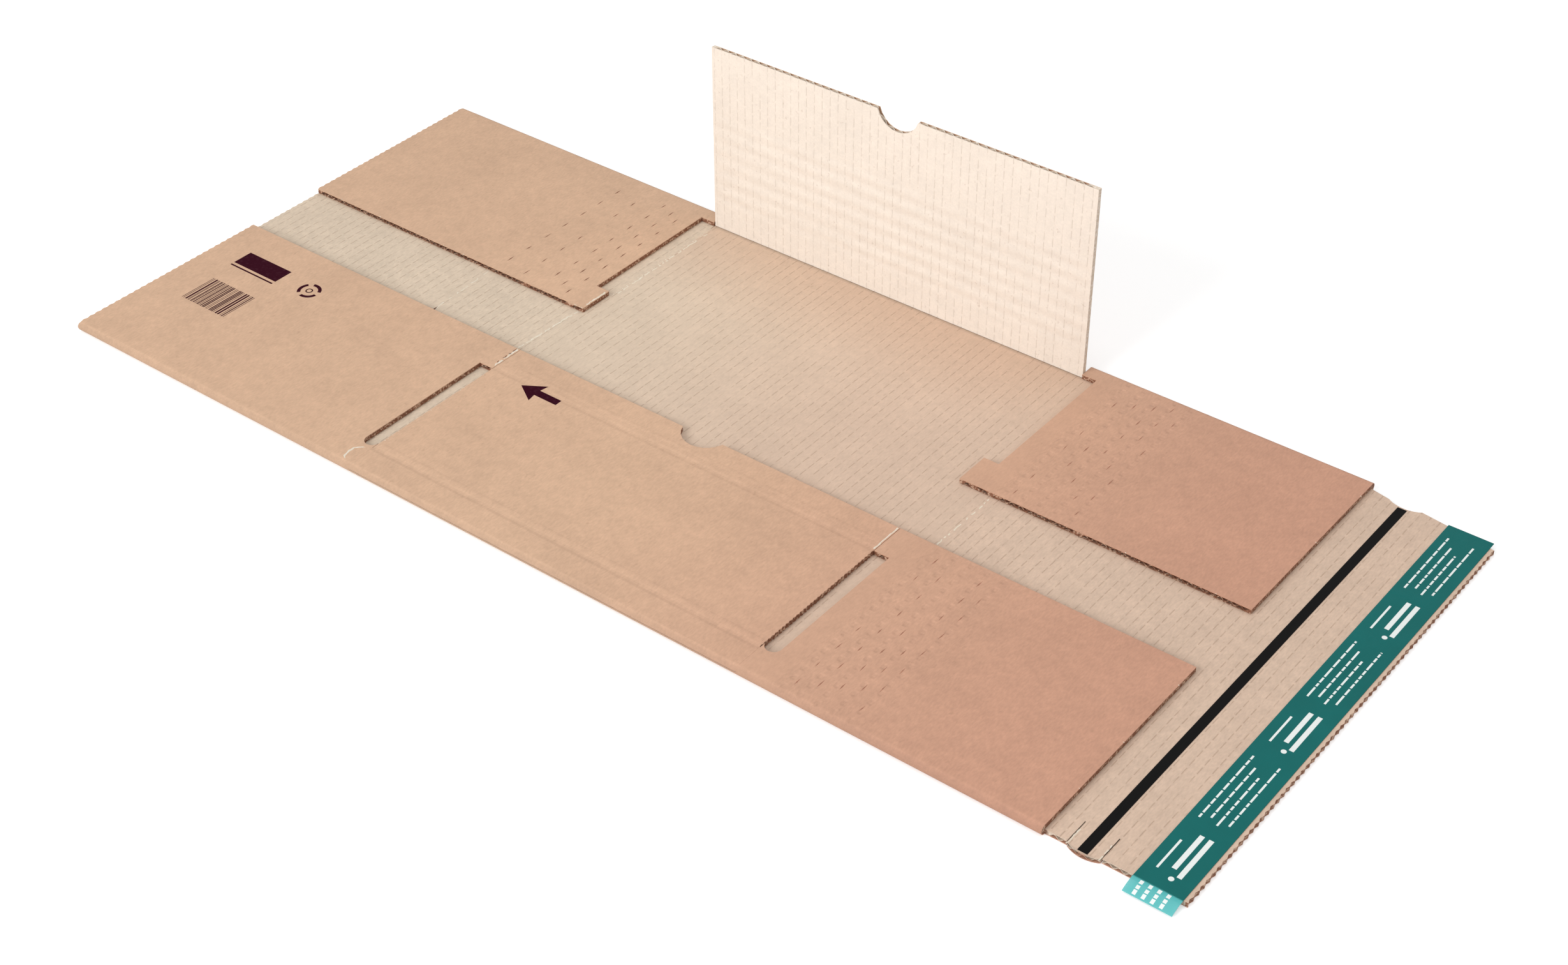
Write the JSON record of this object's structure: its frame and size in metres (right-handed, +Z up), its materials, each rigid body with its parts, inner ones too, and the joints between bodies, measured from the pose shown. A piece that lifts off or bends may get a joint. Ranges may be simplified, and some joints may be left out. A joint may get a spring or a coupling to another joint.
{
  "type": "wraparound mailer",
  "caption": "Open wraparound mailer of corrugated board: floor, folding walls and cover panels, two cross flaps, tear tape and an adhesive closing strip under film.",
  "frame": {"origin": "under the middle of the outline, on the surface that the mailer lies on", "axes": "+X along the mailer to its closing end, +Y to the raised back flap, +Z up"},
  "size_m": [0.768, 0.3424, 0.1302],
  "materials": {
    "outer_kraft": "matt",
    "inner_kraft": "matt",
    "tear_tape": "satin",
    "adhesive": "satin",
    "release_film": "satin"
  },
  "bodies": {
    "base": {"base": "inner_kraft"},
    "left_wall": {"left_wall": "outer_kraft"},
    "left_panel": {"left_panel": "outer_kraft"},
    "right_wall": {"right_wall": "outer_kraft"},
    "right_panel": {"right_panel": "outer_kraft", "tear_tape": "tear_tape", "adhesive_strip": "adhesive", "release_liner": "release_film"},
    "front_flap": {"front_flap": "outer_kraft"},
    "back_flap": {"back_flap": "inner_kraft"}
  },
  "joints": [
    {"name": "front_flap_fold", "type": "hinge", "parent": "base", "child": "front_flap", "pos_m": [-0.0145, -0.16482, 0.00315], "axis": [1, 0, 0], "range_deg": [0, 180]},
    {"name": "back_flap_fold", "type": "hinge", "parent": "base", "child": "back_flap", "pos_m": [-0.0145, 0.16018, 0.00315], "axis": [-1, 0, 0], "range_deg": [-90, 90]},
    {"name": "left_wall_fold", "type": "hinge", "parent": "base", "child": "left_wall", "pos_m": [-0.153, 0, 0.0063], "axis": [0, 1, 0], "range_deg": [0, 90]},
    {"name": "left_panel_fold", "type": "hinge", "parent": "left_wall", "child": "left_panel", "pos_m": [-0.199, 0, 0.0063], "axis": [0, 1, 0], "range_deg": [0, 90]},
    {"name": "right_wall_fold", "type": "hinge", "parent": "base", "child": "right_wall", "pos_m": [0.147, 0, 0.0063], "axis": [0, -1, 0], "range_deg": [0, 90]},
    {"name": "right_panel_fold", "type": "hinge", "parent": "right_wall", "child": "right_panel", "pos_m": [0.202, 0, 0.0063], "axis": [0, -1, 0], "range_deg": [0, 90]}
  ]
}
